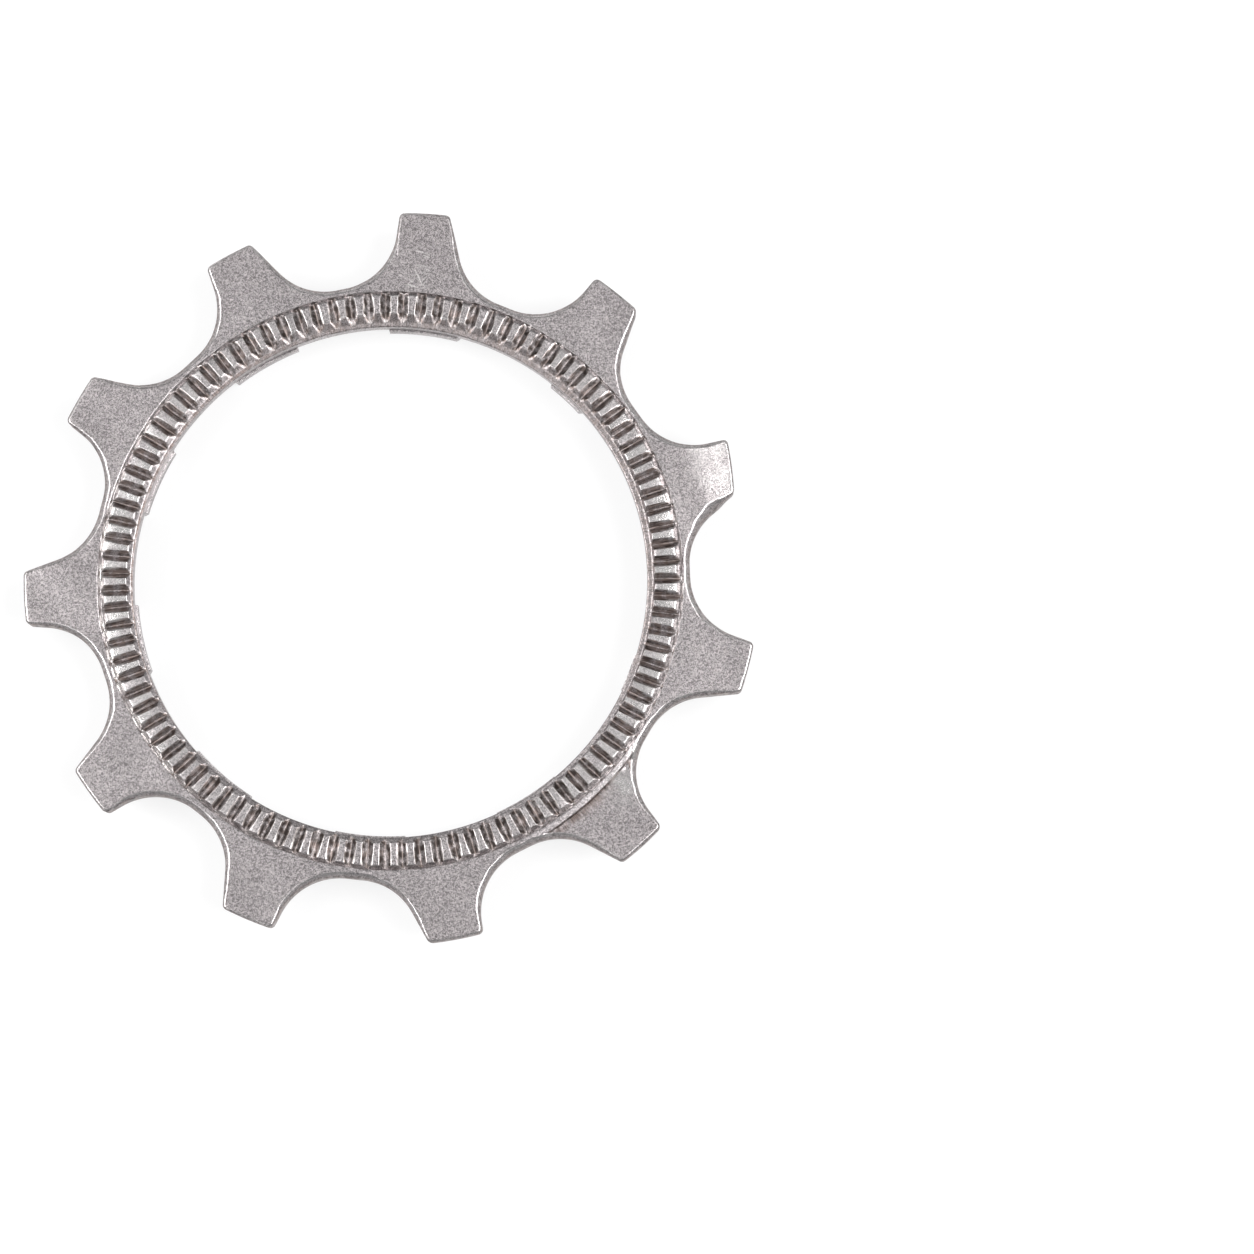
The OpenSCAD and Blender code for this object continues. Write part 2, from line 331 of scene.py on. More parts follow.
# Painted shadow outside the gate's step, which reaches less far towards the counterclockwise side
STEP_SHADOW, SHADOW_REACH, SHADOW_REACH_FALL = 0.95, 0.46, 0.16
# Painted highlight on the ramp, and on a patch of the gate with its place and its size in the tooth's own
# frame
RAMP_HIGHLIGHT, GATE_HIGHLIGHT, GATE_HIGHLIGHT_PLACE, GATE_HIGHLIGHT_SIZE = 0.32, 0.9, (19.3, 1.7), (1.0, 0.8)


def step_radius(s):
    """Radius of the gate's step: the bottom of the seats, less the bevel."""
    return mm(s.pitch) / 2 / math.sin(math.pi / s.teeth) - mm(s.roller) / 2 - mm(s.edge_bevel)


def face_height(s, x, y):
    """Height of the tooth faces: flat and a little uneven, sunk outside a step on the gate tooth, and falling
    evenly from the start of the ramp on the ramped one."""
    top = face_top(s)
    z = top - FACE_WORN
    for height, size, seed in FACE_WAVES:
        z = z + height * waves(x, y, size, seed)
    z = np.minimum(z, top)
    number, along, across = tooth_place(s, x, y)
    r = np.hypot(x, y)
    step_r = step_radius(s)
    sunk = GATE_DEPTH + (GATE_TIP_DEPTH - GATE_DEPTH) * (along - step_r) / (DEPTH_RADIUS - step_r)
    lead = GATE_LEAD * ease(r, GATE_LEAD_START, step_r)
    z = z - (number == GATE_TOOTH) * (lead + (sunk - lead) * ease(r, step_r - 0.02, step_r + 0.07))
    ramp = np.maximum(along - RAMP_RADIUS, 0)
    ramp = ramp * ramp / (ramp + RAMP_ROUND)
    return z - (number == RAMP_TOOTH) * ramp * RAMP_DEPTH / (DEPTH_RADIUS - RAMP_RADIUS)


def painted_step_shadow(s, x, y):
    """Painted shadow on the face: only along the gate's step, fading outwards."""
    number, along, across = tooth_place(s, x, y)
    r, step_r = np.hypot(x, y), step_radius(s)
    end = step_r + 0.05
    reach = SHADOW_REACH - SHADOW_REACH_FALL * across
    grime_and_shade = ease(r, step_r - 0.04, step_r + 0.02) * (1 - ease(r, end, end + reach))
    return STEP_SHADOW * (number == GATE_TOOTH) * grime_and_shade


def painted_face_highlight(s, x, y):
    """Painted highlight on the face: on the ramp, and in a patch of the gate."""
    number, along, across = tooth_place(s, x, y)
    ramp = ease(along, RAMP_RADIUS - 0.15, RAMP_RADIUS + 0.5)
    (out, side), (tall, wide) = GATE_HIGHLIGHT_PLACE, GATE_HIGHLIGHT_SIZE
    patch = np.exp(-(((along - out) / tall) ** 2) - ((across - side) / wide) ** 2)
    return RAMP_HIGHLIGHT * (number == RAMP_TOOTH) * ramp + GATE_HIGHLIGHT * (number == GATE_TOOTH) * patch


# Serrated ring

# Mean radii at which the ridges end and the tooth faces begin
RIDGE_END, FACE_START = 18.055, 18.27
# Numbers of a round wave, as the photo shows them: the rim's width, the runs of the ridges' inner and
# outer slopes, and how far the ridges' ends lie from their mean radius
RIM_WAVE, RUN_IN_WAVE = (0.23, 0.115, 0.095, 0.035), (0.32, -0.065, 0.135, -0.125)
RUN_OUT_WAVE, END_WAVE = (0.28, 0.04, 0.02, 0.04), (0.065, 0.11)
# Where the ring's rows of points lie, in parts of the slopes' runs, of the flat tops and of the wall
RISE_ROWS = (0.12, 0.35, 0.65, 0.88, 0.97, 1.05, 1.2)
FLAT_ROWS = (0.2, 0.4, 0.6, 0.8)
FALL_ROWS = (1.25, 1.07, 0.97, 0.86, 0.6, 0.3, 0.1)
WALL_ROWS = (0.5, 0.92, 1.1)
LIP_ROWS = 5
RIDGE_ROWS = range(LIP_ROWS, LIP_ROWS + len(RISE_ROWS) + len(FLAT_ROWS) + len(FALL_ROWS))
# Seeded unevenness round the ring: knots and seed
TOP_NOISE, GROUND_NOISE, FOOT_NOISE, WIDTH_NOISE = (397, 21), (311, 23), (223, 24), (151, 25)
OUTER_SEED, TILT_SEED = 22, 27
# How far the ridges are worn down, and how fast they fall away from the middle of their length
RIDGE_WORN, RIDGE_CROWN = 0.016, 0.03
# How much shallower the ring is at its outer edge, at the top of the photo
OUTER_RISE = 0.15
# How far the grooves reach below the ridges' foot
GROOVE_BELOW = 0.03
# Middle and width of the arc where the ridges' outer ends are made bright
BRIGHT_ARC_TURN, BRIGHT_ARC_WIDTH = math.radians(205), 0.7
# Turn at which the painted shade on the ridges' inner slopes is darkest
SHADE_TURN = math.radians(75)


def ring_places(s, theta):
    """The places that bound the serrated ring, as the photo shows them round the cog: the foot and the run of
    the ridges' inner slopes, the run and the foot of their outer slopes, and the wall's foot and width."""
    c = np.cos(theta)
    rim = round_wave(theta, mm(s.bore_radius) + RIM_WAVE[0], *RIM_WAVE[1:])
    run_in, run_out = round_wave(theta, *RUN_IN_WAVE), round_wave(theta, *RUN_OUT_WAVE)
    end = round_wave(theta, RIDGE_END, *END_WAVE)
    wall_foot = end + 0.015 + 0.006 * round_noise(theta, *FOOT_NOISE)
    wall_width = 0.09 + 0.10 * c * c + 0.02 * c + 0.012 * round_noise(theta, *WIDTH_NOISE)
    return rim, run_in, run_out, end, wall_foot, np.minimum(wall_width, 0.88 * (FACE_START - wall_foot))


def ring_rows(s, theta):
    """Radii of the ring's rows, tied to its creases so that these stay sharp all the way round."""
    rim, run_in, run_out, end, wall_foot, wall_width = ring_places(s, theta)
    bore = mm(s.bore_radius)
    lip = [bore + 0.06, bore + 0.1, (bore + 0.1 + rim) / 2, rim - 0.025, rim + 0.012]
    rise = [rim + run_in * t for t in RISE_ROWS]
    fall = [end - run_out * t for t in FALL_ROWS]
    flat = [rise[-1] + (fall[0] - rise[-1]) * t for t in FLAT_ROWS]
    wall = [end + 0.004, wall_foot + 0.01] + [wall_foot + wall_width * t for t in WALL_ROWS]
    return lip + rise + flat + fall + wall + [np.full(len(theta), FACE_START)]


def ring_height(s, r, theta, off, groove, ridge):
    """The serrated ring: flat-topped ridges with sloped ends, cut by straight V grooves, inside a steep wall.
    off is the distance from the groove's middle line, groove and ridge hold the uneven values of each.
    Returns the ring's height, the wall's height, how hollow the ring is, which paints shade with dirt, and
    how rubbed, which paints highlights with wear."""
    top, foot, tall = face_top(s), ring_foot(s), mm(s.ridge_height)
    rim, run_in, run_out, end, wall_foot, wall_width = ring_places(s, theta)
    middle = (rim + end) / 2
    sides = np.cos(theta) ** 2

    # Ridges: the lowest of an uneven top that leans and is crowned, and of the two slopes at its ends
    tilt = 0.03 * round_noise(theta, s.ridges, TILT_SEED) - 0.05 * sides
    lean = tilt * (r - middle) - RIDGE_CROWN * (r - middle) ** 2
    flat_top = top - RIDGE_WORN + 0.008 * ridge + 0.003 * round_noise(theta, *TOP_NOISE) + lean
    flat_top = np.minimum(flat_top, top)
    inner = foot + (r - rim) * tall / (run_in + 0.015 * ridge)
    low = foot + OUTER_RISE * np.maximum(np.sin(theta), 0)
    outer = low + (end + 0.012 * round_noise(theta, s.ridges, OUTER_SEED) - r) * (top - low) / run_out
    ends = np.minimum(inner, outer)
    ridges = soft_min(flat_top, soft_min(inner, outer, 0.02), 0.035)

    # Grooves: a V whose depth and slope are the same all along its middle line
    half = mm(s.groove_width) / 2 * (1 + 0.04 * groove)
    depth = tall + GROOVE_BELOW
    v = top - depth + np.abs(off) * depth / half
    z = soft_max(soft_min(ridges, v, 0.018), top - depth + GROOVE_BELOW, 0.05)
    in_ring = (rim < r) & (r < end)
    ground = np.where(r > middle, low - 0.005, foot) + 0.004 * round_noise(theta, *GROUND_NOISE)
    z = np.where(in_ring, soft_max(z, foot - GROOVE_BELOW, 0.02), np.maximum(z, ground))
    wall = low + (r - wall_foot) * tall / wall_width

    # Rubbed, which paints highlights with some wear: bright lines on the long creases, stronger at top and
    # bottom, bright lines on the creases at the ends, painted highlights on the flat tops at left and right,
    # and the arc where the outer ends are made bright
    in_groove = ease(ridges - v, -0.012, 0.02) * ease(top - ridges, 0.4, 0.32)
    side_edge = 1 - ease(np.abs(ridges - v), 0.005, 0.024)
    end_edge = (1 - ease(np.abs(flat_top - ends), 0.005, 0.04)) * (1 - in_groove)
    on_flat = 1 - ease(flat_top - np.minimum(ends, v), 0.0, 0.02)
    bright_arc = np.exp(-((np.angle(np.exp(1j * (theta - BRIGHT_ARC_TURN))) / BRIGHT_ARC_WIDTH) ** 2))
    wear_and_highlight = np.maximum((0.8 - 0.45 * sides) * side_edge, 0.6 * end_edge)
    wear_and_highlight = np.maximum(wear_and_highlight, 0.85 * on_flat * sides)
    wear_and_highlight = np.maximum(wear_and_highlight, 0.8 * bright_arc * (outer < flat_top) * (1 - in_groove)) * in_ring

    # Hollow, which paints brown dirt and shade: the grooves, with more painted shade at top and bottom than
    # at left and right, less a pale patch and a pale line along them, which is a painted highlight, painted
    # shade on the inner slopes, darkest round SHADE_TURN, and painted shade on the rim, which changes round
    # the cog
    pale = 0.3 + 0.35 * np.clip(groove, -1, 1)
    patch = pale * (1 - ease(np.abs(r - middle + 0.12 * ridge), 0.08, 0.42))
    line = (np.abs(off) < 0.04) * (0.9 - 0.75 * sides)
    hollow = in_groove * (1.6 - 0.6 * sides - np.clip(patch + line, 0, 1.05 - 0.35 * sides))
    shade = np.sqrt(np.maximum(np.cos(theta - SHADE_TURN), 0)) * (inner < outer) * (inner < flat_top - 0.02)
    # Painted shade on the rim, darker towards the top, at left and right, and most at the left
    on_rim = 0.3 + 0.2 * np.sin(theta) + 0.25 * sides + 0.25 * np.maximum(-np.cos(theta), 0)
    hollow = np.where(in_ring, np.maximum(hollow, 0.55 * shade), (r < rim) * on_rim)
    return z, wall, hollow, wear_and_highlight


# The whole surface

# Distances of the columns beside a groove's middle line, for a groove with this half width
GROOVE_COLUMNS, GROOVE_HALF = (0, 0.05, 0.17, 0.305, 0.335, 0.36, 0.39, 0.43), 0.35
# Columns to a ridge: those beside its own groove, one on its middle, and one fewer beside the next groove
FINE = 2 * len(GROOVE_COLUMNS)
RING_MEAN = 17.0
# The bore's edge: out from the bore, up from the ring's foot, and how hollow, which paints shade
BORE_ROWS = ((0.0, -0.16, 0.0), (0.002, -0.075, 0.25), (0.018, -0.03, 0.45))
# Rows of the faces: the first are near the ring, each with a distance and a limit in parts of the way to the
# tooth's edge, and the rest are at these parts of the way that is left
FACE_NEAR = ((0.17, 0.14), (0.24, 0.26), (0.29, 0.38), (0.35, 0.5), (0.45, 0.6))
FACE_STEPS = (0.2, 0.4, 0.6, 0.8, 0.93)
# Rows of the front bevel: inwards and down in parts of its width, how rubbed, which paints a highlight along
# its top, and how hollow, which paints shade lower down
BEVEL_ROWS = (
    (1.06, 0.015, 0.5, 0.0),
    (0.86, 0.14, 0.6, 0.0),
    (0.5, 0.5, 0.05, 0.35),
    (0.14, 0.86, 0.05, 0.6),
    (0.015, 1.06, 0.15, 0.65),
)
# Rows of the teeth's walls: part of the way down, how far outwards, and how hollow, which paints shade on the
# walls
WALL_LEVELS = ((0.0, 0.0, 0.55), (0.35, 0.006, 0.8), (0.7, 0.004, 0.75), (1.0, 0.0, 0.5))
WALL_WORN = 0.008
# The back bevel's width, and its rows: inwards and up in parts of the width, and how rubbed, which paints a
# highlight
BACK_BEVEL = 0.15
BACK_ROWS = ((0.015, 1.06, 0.5), (0.2, 0.8, 0.6), (0.8, 0.2, 0.6), (1.06, 0.015, 0.5))
# Unevenness of the teeth's edges: height, knots and seed
EDGE_NOISE = ((0.010, 430, 31), (0.008, 190, 32))
BEVEL_UNEVEN = 6
# Tabs behind the lip: how many, the turn of the first and the step to the next in degrees
TABS, FIRST_TAB, TAB_STEP = 9, 46.5, 36.5
# Widths of the wide tabs and of the first and last one, at this radius, and how far the tabs flare in degrees
TAB_WIDTH, NARROW_TAB, TAB_WIDTH_RADIUS, TAB_FLARE = 4.4, 2.5, 15.9, 15


class Rows:
    """Rows of points that run round the cog, one after another, and the marks of the points: how hollow,
    which paints shade with dirt, how rubbed, which paints highlights with wear, and whether the point is on
    the ring's ridges."""

    def __init__(self):
        self.points, self.marks = [], []

    def add(self, place, z, hollow=0.0, wear_and_highlight=0.0, ring=0.0):
        """Adds a row. The place is two numbers for each point, and the rest are one each or one for all."""
        level = np.zeros(len(place))
        self.points.append(np.c_[place, z + level])
        self.marks.append(np.c_[hollow + level, wear_and_highlight + level, ring + level])


def per_ridge(own, between, following):
    """A value for every column over the ring: a ridge's own groove, its middle, and the next groove."""
    half = FINE // 2
    values = [np.tile(own[:, None], (1, half)), between[:, None], np.tile(following[:, None], (1, half - 1))]
    return np.hstack(values).ravel()


def ring_columns(s):
    """The columns over the ring. Each groove has its own middle line, a little off its even place, and
    columns at fixed distances from it, so that the creases of its V stay straight. Returns each column's
    middle line and its distance from it, then for the one on a ridge's middle the turn from there to the
    groove, and the uneven values of its groove and its ridge."""
    rng = np.random.default_rng(5)
    n = s.ridges
    count = np.arange(n)
    middle = (count + 0.012 * rng.normal(size=n)) * (FULL_TURN / n)
    groove = rng.normal(size=n).clip(-2, 2)
    ridge = rng.normal(size=n).clip(-2, 2)
    after = np.roll(middle, -1) + np.where(count == n - 1, FULL_TURN, 0)
    side = np.array(GROOVE_COLUMNS) / GROOVE_HALF * mm(s.groove_width) / 2
    line = per_ridge(middle, (middle + after) / 2, after)
    away = np.tile(np.r_[side, 0, -side[:0:-1]], n)
    to_middle = per_ridge(np.zeros(n), (after - middle) / 2, np.zeros(n))
    return line, away, to_middle, per_ridge(groove, groove, np.roll(groove, -1)), np.repeat(ridge, FINE)


def ring_skin(s, rows):
    """From the bore's edge out over the rim, the ridges and the wall to the start of the tooth faces. A
    column is turned from its groove's middle line by the arc sine of its distance over the radius."""
    line, away, to_middle, groove, ridge = ring_columns(s)
    bore, foot = mm(s.bore_radius), ring_foot(s)
    for out, rise, hollow in BORE_ROWS:
        rows.add(polar(bore + out, line + np.arcsin(away / (bore + out))), foot + rise, hollow)
    for row, r in enumerate(ring_rows(s, line + away / RING_MEAN)):
        theta = line + np.arcsin(away / r)
        z, wall, hollow, wear_and_highlight = ring_height(s, r, theta, np.abs(away) + to_middle * r, groove, ridge)
        face = face_height(s, r * np.cos(theta), r * np.sin(theta))
        z = soft_min(soft_max(z, wall, 0.015), face, 0.03)
        on_wall = (wall > z - 0.01) * (z < face - 0.01)
        # Painted shade on the ring's wall towards the top of the cog, and a painted highlight on it,
        # brightest at left and right
        hollow = np.maximum(hollow * (wall < z - 0.01), 0.3 * on_wall * np.maximum(np.sin(theta), 0))
        wear_and_highlight = np.maximum(wear_and_highlight, on_wall * (0.55 + 0.45 * np.cos(theta) ** 2))
        rows.add(polar(r, theta), z - 0.012 * (row == 0), hollow, wear_and_highlight, float(row in RIDGE_ROWS))


def tooth_skin(s, rows, start, edge, normal, bevel, rough):
    """From the ring out over the tooth faces, and down the front bevels, the walls and the back bevels."""
    inner = edge - normal * (bevel + 0.07)[:, None]
    span = np.hypot(*(inner - start).T)
    near = [np.minimum(distance / span, limit) for distance, limit in FACE_NEAR]
    for t in near + [near[-1] + (1 - near[-1]) * part for part in FACE_STEPS]:
        p = start + (inner - start) * t[:, None]
        rows.add(p, face_height(s, *p.T), painted_step_shadow(s, *p.T), painted_face_highlight(s, *p.T))
    level = face_height(s, *inner.T)
    rows.add(inner, level, 0.0, painted_face_highlight(s, *inner.T))
    for inset, drop, wear_and_highlight, hollow in BEVEL_ROWS:
        rows.add(edge - normal * (bevel * inset)[:, None], level - bevel * drop, hollow, wear_and_highlight)
    back = mm(s.collar)
    high, low = level - bevel - 0.07, back + BACK_BEVEL + 0.07
    for t, out, hollow in WALL_LEVELS:
        p = edge + normal * (rough * 0.5 - WALL_WORN + out)[:, None]
        rows.add(p, high * (1 - t) + low * t, hollow)
    for inset, rise, wear_and_highlight in BACK_ROWS:
        rows.add(edge - normal * (BACK_BEVEL * inset), back + BACK_BEVEL * rise, 0.0, wear_and_highlight)


def collar_skin(s, rows, theta, edge, normal):
    """Across the back of the teeth to the collar, and down its outside to its back face."""
    back, hub = mm(s.collar), mm(s.collar_radius)
    under = edge - normal * (BACK_BEVEL + 0.06)
    # Painted shade, growing across the back of the teeth towards the collar and strongest at the collar's
    # corner, and a painted highlight on the bevel at the collar's back
    for t in (0.0, 0.5, 0.9):
        rows.add(under * (1 - t) + polar(hub + 0.05, theta) * t, back, 0.2 * t)
    for r, z, hollow, wear_and_highlight in (
        (hub + 0.01, back - 0.015, 0.4, 0.0),
        (hub, back - 0.08, 0.0, 0.0),
        (hub, back * 0.6, 0.0, 0.0),
        (hub, back * 0.3, 0.0, 0.0),
        (hub, 0.24, 0.0, 0.0),
        (hub - 0.03, 0.15, 0.0, 0.6),
        (hub - 0.15, 0.03, 0.0, 0.6),
        (hub - 0.21, 0.0, 0.0, 0.0),
    ):
        rows.add(polar(r, theta), z, hollow, wear_and_highlight)


def on_tabs(theta):
    """1 where a tab is, and 0 in the gaps between the tabs."""
    tab = np.zeros(len(theta))
    for k in range(TABS):
        width = NARROW_TAB if k in (0, TABS - 1) else TAB_WIDTH
        turn = np.angle(np.exp(1j * (theta - math.radians(FIRST_TAB + TAB_STEP * k))))
        tab[np.abs(turn) * TAB_WIDTH_RADIUS < width / 2] = 1.0
    return tab


def socket_skin(s, rows, theta):
    """Up the inside of the collar to the lip and the bore. Where a tab is, the rows follow its face, and
    elsewhere the socket's wall. Each row has a radius and a height for the wall and for the tab, and how
    rubbed, which paints a highlight."""
    shelf = ring_foot(s) - mm(s.lip)
    bore, wall, face = mm(s.bore_radius), mm(s.socket_radius), mm(s.tab_radius)
    flare = math.tan(math.radians(TAB_FLARE))
    knee = shelf - 0.7
    tab = on_tabs(theta)
    for wall_r, wall_z, tab_r, tab_z, wear_and_highlight in (
        (wall + 0.2, 0.0, face + flare * knee + 0.05, 0.0, 0.0),
        (wall + 0.03, 0.12, face + flare * knee, 0.04, 0.5),
        (wall, 0.24, face + flare * (knee - 0.3), 0.3, 0.0),
        (wall, knee, face + 0.005, knee, 0.0),
        (wall, shelf - 0.08, face, shelf - 0.06, 0.0),
        (wall - 0.02, shelf - 0.015, face + 0.015, shelf - 0.012, 0.6),
        (wall - 0.09, shelf, face + 0.06, shelf, 0.0),
        (bore + 0.3, shelf, bore - 0.02, shelf + 0.002, 0.0),
        (bore + 0.04, shelf + 0.003, bore - 0.004, shelf + 0.012, 0.0),
        (bore + 0.004, shelf + 0.03, bore, shelf + 0.04, 0.0),
        (bore, shelf + 0.1, bore, shelf + 0.1, 0.0),
        (bore, shelf + 0.45, bore, shelf + 0.45, 0.0),
    ):
        rows.add(polar(wall_r + (tab_r - wall_r) * tab, theta), wall_z + (tab_z - wall_z) * tab, 0.0, wear_and_highlight)


def strip(first, count, width):
    """Quads between count rows of width points each, which close round the cog."""
    i, j = np.meshgrid(np.arange(count - 1), np.arange(width), indexing="ij")
    k = (j + 1) % width
    here, beyond = first + i * width, first + (i + 1) * width
    return np.stack([here + j, beyond + j, beyond + k, here + k], -1).reshape(-1, 4)


def skin_faces(fine_rows, coarse_rows, m):
    """Faces of the closed skin, whose points are numbered row by row: first the fine rows of 2 m points, then
    the coarse rows of m. Quads join rows of one kind. Where the two kinds meet, which is at the start of the
    tooth faces and in the bore, three triangles join two fine steps to a coarse one."""
    wide, first = 2 * m, fine_rows * 2 * m
    j = np.arange(m)
    k = (j + 1) % m
    f0, f1, f2 = 2 * j, 2 * j + 1, 2 * k
    rim = first + (coarse_rows - 1) * m
    upward = [np.c_[rim + j, f0, f1], np.c_[rim + j, f1, rim + k], np.c_[rim + k, f1, f2]]
    f0, f1, f2 = (f + (fine_rows - 1) * wide for f in (f0, f1, f2))
    outward = [np.c_[f0, first + j, f1], np.c_[f1, first + j, first + k], np.c_[f1, first + k, f2]]
    quads = np.vstack([strip(0, fine_rows, wide), strip(first, coarse_rows, m)])
    return quads.tolist() + np.vstack(outward + upward).tolist()


def cog_surface(s):
    """The cog's whole skin as one closed surface over two parameters: columns run round the cog, and rows run
    round the section, from the bore's edge over the rim, the ridges, the faces, the bevels, the walls and the
    collar, and back up the tabs. The ring has twice the columns of the rest, whose columns lead from every
    second one of the ring's to points along the tooth outline. Returns points, faces and marks."""
    fine, coarse = Rows(), Rows()
    ring_skin(s, fine)
    start = fine.points[-1][::2, :2]
    theta = np.arctan2(start[:, 1], start[:, 0])

    m = len(start)
    shift = int(round(s.first_tooth / FULL_TURN * m))
    edge, normal, bevel = (np.roll(v, shift, axis=0) for v in outline(s, m // s.teeth))
    even_turn = np.arange(m) / m * FULL_TURN
    rough = sum(height * round_noise(even_turn, knots, seed) for height, knots, seed in EDGE_NOISE)
    bevel = bevel * (1 + BEVEL_UNEVEN * rough)

    tooth_skin(s, coarse, start, edge, normal, bevel, rough)
    collar_skin(s, coarse, theta, edge, normal)
    socket_skin(s, coarse, theta)
    faces = skin_faces(len(fine.points), len(coarse.points), m)
    return np.vstack(fine.points + coarse.points), faces, np.vstack(fine.marks + coarse.marks)


# Materials

# Place of the nicks on the top tooth, the distances between which they thin out, and their directions
NICKED_PLACE, NICKED_NEAR, NICKED_FAR = (1.8, 19.3, 3.7), 0.2, 2.4
NICK_TURNS = (0.35, 1.25, 2.3)
# How strongly the nicks show, the level that the noise of their patches has to pass, and how much lower that
# level is in the middle of the nicked place and away from it
NICK_MIX, NICK_LEVEL, NICK_MORE, NICK_FEWER = 0.6, 0.69, 0.17, -0.1


def feed(tree, socket, value):
    """Links another node's output into an input, or sets the input to a plain value."""
    if isinstance(value, bpy.types.NodeSocket):
        tree.links.new(value, socket)
    else:
        socket.default_value = value


def node(tree, kind, **settings):
    """A node of the given kind. Each setting is one of its properties or inputs, with _ for a space in an
    input's name, and is a plain value or another node's output."""
    made = tree.nodes.new(kind)
    for key, value in settings.items():
        if hasattr(made, key):
            setattr(made, key, value)
        else:
            feed(tree, made.inputs[key.replace("_", " ")], value)
    return made


def mix_colour(tree, factor, a, b):
    """Mixes two colours. Each of them is a socket or red, green and blue."""
    made = node(tree, "ShaderNodeMix", data_type="RGBA")
    feed(tree, made.inputs[0], factor)
    for index, value in ((6, a), (7, b)):
        feed(tree, made.inputs[index], value if isinstance(value, bpy.types.NodeSocket) else (*value, 1))
    return made.outputs[2]


def maths(tree, operation, *values, clamp=False):
    """A sum on up to three values, each a socket or a number."""
    made = node(tree, "ShaderNodeMath", operation=operation, use_clamp=clamp)
    for socket, value in zip(made.inputs, values):
        feed(tree, socket, value)
    return made.outputs[0]


def vector_maths(tree, operation, *values):
    """A vector sum on up to three values, each a socket or three numbers."""
    made = node(tree, "ShaderNodeVectorMath", operation=operation)
    for socket, value in zip(made.inputs, values):
        feed(tree, socket, value)
    return made.outputs


def spread(tree, value, low, high, to_low=0.0, to_high=1.0):
    """Maps a value from one range to another, smoothly and clamped."""
    made = node(tree, "ShaderNodeMapRange", interpolation_type="SMOOTHSTEP")
    for socket, number in zip(made.inputs, (value, low, high, to_low, to_high)):
        feed(tree, socket, number)
    return made.outputs[0]


def noise(tree, place, scale, detail=2.0, roughness=0.5, distortion=0.0):
    """A noise from 0 to 1 at the given coordinates, with scale cells to a metre."""
    made = node(tree, "ShaderNodeTexNoise", Vector=place, Scale=scale)
    for key, value in (("Detail", detail), ("Roughness", roughness), ("Distortion", distortion)):
        made.inputs[key].default_value = value
    return made.outputs["Fac"]


def group(name, values, outputs):
    """A shader node group that takes a Place and the named values, and puts out the named tones. Returns the
    group, its inputs to read from and its outputs to feed."""
    made = bpy.data.node_groups.new(name, "ShaderNodeTree")
    made.interface.new_socket("Place", in_out="INPUT", socket_type="NodeSocketVector")
    for key, value in values.items():
        made.interface.new_socket(key, in_out="INPUT", socket_type="NodeSocketFloat").default_value = value
    for key in outputs:
        made.interface.new_socket(key, in_out="OUTPUT", socket_type="NodeSocketFloat")
    return made, made.nodes.new("NodeGroupInput").outputs, made.nodes.new("NodeGroupOutput").inputs


def place_group(tree, made, place, **values):
    """Puts a node group into a material, feeds its Place and its other inputs, and returns its outputs."""
    used = node(tree, "ShaderNodeGroup", node_tree=made)
    for key, value in dict(values, Place=place).items():
        feed(tree, used.inputs[key], value)
    return used.outputs


def peened_grain():
    """Fine worm-like dents of blasted and tumbled steel, with clouds of tone. Puts out a height, a tone that
    follows the dents, and the clouds."""
    made, given, out = group("peened_grain", {"Grain": 9500.0, "Cloud": 420.0}, ("Height", "Speck", "Cloud"))
    worm = noise(made, given["Place"], given["Grain"], 2.0, 0.55, 1.4)
    fine = noise(made, given["Place"], 14000.0, 2.0, 0.6)
    cloud = noise(made, given["Place"], given["Cloud"], 4.0, 0.55, 0.3)
    feed(made, out["Height"], maths(made, "MULTIPLY_ADD", fine, 0.25, worm))
    feed(made, out["Speck"], spread(made, worm, 0.38, 0.64))
    feed(made, out["Cloud"], spread(made, cloud, 0.36, 0.66))
    return made


def fine_nicks():
    """Short thin scratches that run one way: a noise drawn out along one direction, kept only at its crests
    and only in scattered patches. Puts out a mask."""
    made, given, out = group("fine_nicks", {"Turn": 0.0, "Patch": 0.5}, ("Mask",))
    turned = node(
        made, "ShaderNodeVectorRotate", rotation_type="Z_AXIS", Vector=given["Place"], Angle=given["Turn"]
    ).outputs[0]
    drawn = node(made, "ShaderNodeMapping", Vector=turned, Scale=(0.07, 1.0, 0.5)).outputs[0]
    crest = spread(made, noise(made, drawn, 10000.0, 1.0, 0.4), 0.61, 0.68)
    kept = maths(made, "GREATER_THAN", noise(made, turned, 700.0, 1.0), given["Patch"])
    feed(made, out["Mask"], maths(made, "MULTIPLY", crest, kept))
    return made


def radial_streaks():
    """Fine streaks that run out from the axis, as the rolling of the grooves leaves them: a noise read at the
    direction from the axis, so that it changes round the cog and hardly along a groove. Puts out a tone."""
    made, given, out = group("radial_streaks", {"Fineness": 230.0}, ("Streak",))
    level = vector_maths(made, "MULTIPLY", given["Place"], (1, 1, 0))[0]
    direction = vector_maths(made, "NORMALIZE", level)[0]
    drift = vector_maths(made, "MULTIPLY_ADD", given["Place"], (4, 4, 4), direction)[0]
    streak = noise(made, drift, given["Fineness"], 2.0, 0.6)
    feed(made, out["Streak"], spread(made, streak, 0.38, 0.62))
    return made


